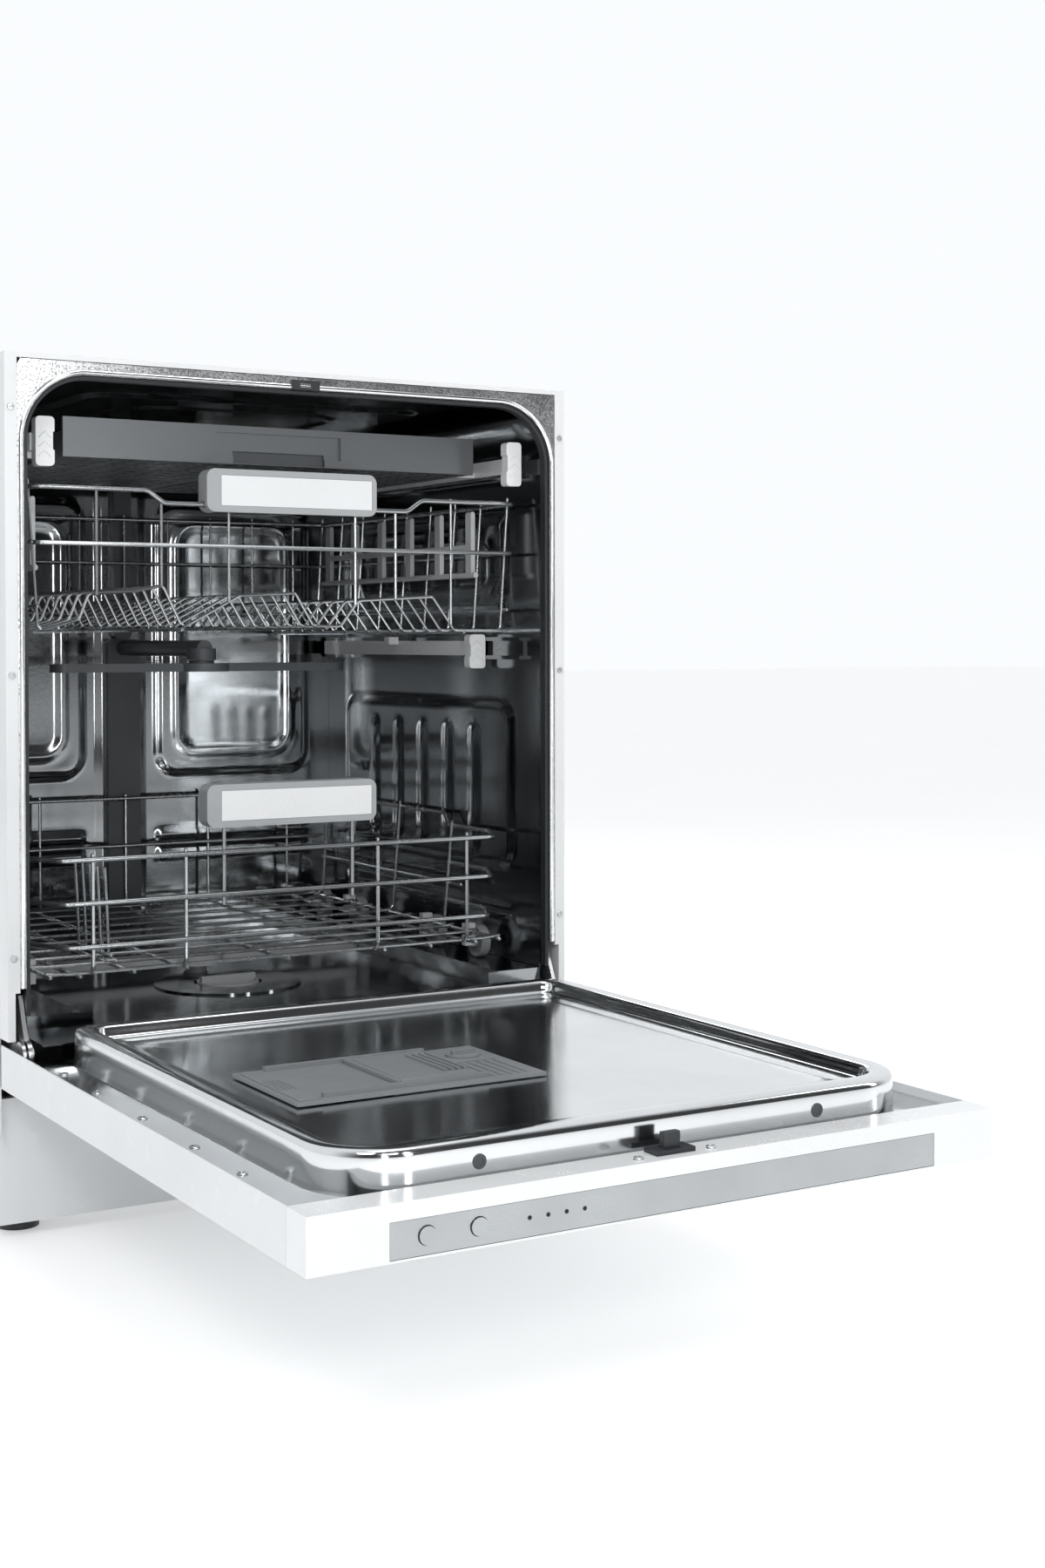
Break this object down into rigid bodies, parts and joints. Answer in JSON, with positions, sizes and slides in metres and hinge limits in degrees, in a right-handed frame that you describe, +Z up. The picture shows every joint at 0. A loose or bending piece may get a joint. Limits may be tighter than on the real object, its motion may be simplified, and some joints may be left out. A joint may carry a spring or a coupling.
{
  "type": "built-in dishwasher",
  "caption": "Built-in dishwasher with an open drop-down door, two wire baskets, a cutlery tray, spray arms and a base with pumps.",
  "frame": {"origin": "on the floor plane, at the middle of the footprint's bounding box with the door open", "axes": "+X right seen from the front, +Y from the front into the tub, +Z up"},
  "size_m": [0.598, 1.2022, 0.82],
  "materials": {
    "mirror_steel": "bright, lightly brushed",
    "white_paint": "semi-gloss",
    "black_rubber": "satin",
    "zinc_sheet": "satin",
    "pale_plastic": "matte",
    "black_plastic": "matte",
    "dark_plastic": "matte",
    "grey_plastic": "satin",
    "white_plastic": "gloss",
    "coated_wire": "satin coat",
    "brushed_grey": "brushed"
  },
  "bodies": {
    "body": {"tub_wrapper": "mirror_steel", "tub_back": "mirror_steel", "tub_floor": "mirror_steel", "front_frame": "white_paint", "door_gasket": "black_rubber", "casing_panels": "zinc_sheet", "base_pan": "pale_plastic", "plinth": "white_paint", "feet": "black_plastic", "hinge_brackets": "zinc_sheet", "latch_striker": "black_plastic", "sump": "dark_plastic", "circulation_pump": "dark_plastic", "drain_pump": "dark_plastic", "feed_duct": "dark_plastic", "ceiling_spray": "grey_plastic", "filter_plate": "mirror_steel", "softener": "pale_plastic", "inlet_valve": "white_plastic", "door_springs": "zinc_sheet", "rails_fixed": "mirror_steel"},
    "door": {"door_outer_panel": "white_paint", "door_inner_liner": "mirror_steel", "control_housing": "white_plastic", "control_fascia": "brushed_grey", "door_latch": "black_plastic", "dispenser": "dark_plastic", "hinge_arms": "zinc_sheet", "door_screws": "zinc_sheet"},
    "lower_basket": {"lower_basket": "coated_wire", "lower_handle": "grey_plastic", "lower_handle_plate": "white_plastic", "wheel_brackets": "grey_plastic"},
    "upper_basket": {"upper_basket": "coated_wire", "upper_handle": "grey_plastic", "upper_handle_plate": "white_plastic", "upper_rail_carriers": "white_plastic", "upper_feed_pipe": "grey_plastic"},
    "cutlery_tray": {"cutlery_tray": "dark_plastic", "tray_front": "brushed_grey", "tray_rail_carriers": "white_plastic"},
    "upper_rails_mid": {"upper_rails_mid": "mirror_steel"},
    "tray_rails_mid": {"tray_rails_mid": "mirror_steel"},
    "filter_cylinder": {"filter_cylinder": "grey_plastic"},
    "salt_cap": {"salt_cap": "grey_plastic"},
    "lower_spray_arm": {"lower_spray_arm": "grey_plastic"},
    "upper_spray_arm": {"upper_spray_arm": "grey_plastic"},
    "cup_shelf_left": {"cup_shelf_left": "grey_plastic"},
    "cup_shelf_right": {"cup_shelf_right": "grey_plastic"},
    "wheels_front": {"wheels_front": "grey_plastic"},
    "wheels_second": {"wheels_second": "grey_plastic"},
    "wheels_third": {"wheels_third": "grey_plastic"},
    "wheels_rear": {"wheels_rear": "grey_plastic"},
    "tine_row_rear": {"tine_row_rear": "coated_wire"},
    "tine_row_front": {"tine_row_front": "coated_wire"},
    "latch_tongue": {"latch_tongue": "black_plastic"},
    "dispenser_lid": {"dispenser_lid": "dark_plastic"},
    "rinse_aid_cap": {"rinse_aid_cap": "dark_plastic"},
    "power_button": {"power_button": "brushed_grey"},
    "start_button": {"start_button": "brushed_grey"}
  },
  "joints": [
    {"name": "basket_lower_slide", "type": "slide", "parent": "body", "child": "lower_basket", "axis": [0, -1, 0], "range_m": [0, 0.523]},
    {"name": "basket_upper_slide", "type": "slide", "parent": "body", "child": "upper_basket", "axis": [0, -1, 0], "range_m": [0, 0.4]},
    {"name": "cup_shelf_left_fold", "type": "hinge", "parent": "upper_basket", "child": "cup_shelf_left", "pos_m": [-0.243, 0.3171, 0.628], "axis": [0, 1, 0], "range_deg": [0, 85]},
    {"name": "cup_shelf_right_fold", "type": "hinge", "parent": "upper_basket", "child": "cup_shelf_right", "pos_m": [0.243, 0.3171, 0.628], "axis": [0, -1, 0], "range_deg": [0, 85]},
    {"name": "cutlery_tray_slide", "type": "slide", "parent": "body", "child": "cutlery_tray", "axis": [0, -1, 0], "range_m": [0, 0.3]},
    {"name": "detergent_lid_slide", "type": "slide", "parent": "door", "child": "dispenser_lid", "axis": [-1, 0, 0], "range_m": [0, 0.064]},
    {"name": "door_hinge", "type": "hinge", "parent": "body", "child": "door", "pos_m": [0, 0.0301, 0.181], "axis": [1, 0, 0], "range_deg": [-90, 0]},
    {"name": "filter_twist", "type": "hinge", "parent": "body", "child": "filter_cylinder", "pos_m": [0, 0.2371, 0.16], "axis": [0, 0, 1], "range_deg": [0, 90]},
    {"name": "latch_tongue_spring", "type": "slide", "parent": "door", "child": "latch_tongue", "axis": [0, 1, 0], "range_m": [0, 0.003], "stiffness_N_per_m": 600},
    {"name": "rinse_aid_cap_twist", "type": "hinge", "parent": "door", "child": "rinse_aid_cap", "pos_m": [0, -0.2749, 0.2], "axis": [0, 0, 1], "range_deg": [0, 90]},
    {"name": "salt_cap_twist", "type": "hinge", "parent": "body", "child": "salt_cap", "pos_m": [-0.15, 0.4371, 0.186], "axis": [0, 0, 1], "range_deg": [0, 180]},
    {"name": "spray_arm_lower_spin", "type": "hinge", "parent": "body", "child": "lower_spray_arm", "pos_m": [0, 0.3271, 0.186], "axis": [0, 0, 1], "continuous": true},
    {"name": "spray_arm_upper_spin", "type": "hinge", "parent": "upper_basket", "child": "upper_spray_arm", "pos_m": [0, 0.3071, 0.53], "axis": [0, 0, 1], "continuous": true},
    {"name": "power_button_press", "type": "slide", "parent": "door", "child": "power_button", "axis": [0, 1, 0], "range_m": [0, 0.002], "stiffness_N_per_m": 800},
    {"name": "start_button_press", "type": "slide", "parent": "door", "child": "start_button", "axis": [0, 1, 0], "range_m": [0, 0.002], "stiffness_N_per_m": 800},
    {"name": "tine_row_rear_fold", "type": "hinge", "parent": "lower_basket", "child": "tine_row_rear", "pos_m": [-0.19, 0.3921, 0.2475], "axis": [0, 1, 0], "range_deg": [0, 85]},
    {"name": "tine_row_front_fold", "type": "hinge", "parent": "lower_basket", "child": "tine_row_front", "pos_m": [-0.167, 0.1841, 0.2475], "axis": [0, 1, 0], "range_deg": [0, 85]},
    {"name": "tray_rails_mid_slide", "type": "slide", "parent": "body", "child": "tray_rails_mid", "axis": [0, -1, 0], "range_m": [0, 0.1505]},
    {"name": "upper_rails_mid_slide", "type": "slide", "parent": "body", "child": "upper_rails_mid", "axis": [0, -1, 0], "range_m": [0, 0.2005]},
    {"name": "wheels_front_roll", "type": "hinge", "parent": "lower_basket", "child": "wheels_front", "pos_m": [0.258, 0.1481, 0.2289], "axis": [1, 0, 0], "range_deg": [-20, 1740]},
    {"name": "wheels_second_roll", "type": "hinge", "parent": "lower_basket", "child": "wheels_second", "pos_m": [0.258, 0.2461, 0.2289], "axis": [1, 0, 0], "range_deg": [-20, 1740]},
    {"name": "wheels_third_roll", "type": "hinge", "parent": "lower_basket", "child": "wheels_third", "pos_m": [0.258, 0.4421, 0.2289], "axis": [1, 0, 0], "range_deg": [-20, 1740]},
    {"name": "wheels_rear_roll", "type": "hinge", "parent": "lower_basket", "child": "wheels_rear", "pos_m": [0.258, 0.5401, 0.2289], "axis": [1, 0, 0], "range_deg": [-20, 1740]}
  ],
  "couplings": [
    {"joint": "upper_rails_mid_slide", "follows": "basket_upper_slide", "ratio": 0.5},
    {"joint": "tray_rails_mid_slide", "follows": "cutlery_tray_slide", "ratio": 0.5},
    {"joint": "wheels_front_roll", "follows": "basket_lower_slide", "rad_per_m": 57.143},
    {"joint": "wheels_second_roll", "follows": "basket_lower_slide", "rad_per_m": 57.143},
    {"joint": "wheels_third_roll", "follows": "basket_lower_slide", "rad_per_m": 57.143},
    {"joint": "wheels_rear_roll", "follows": "basket_lower_slide", "rad_per_m": 57.143}
  ]
}
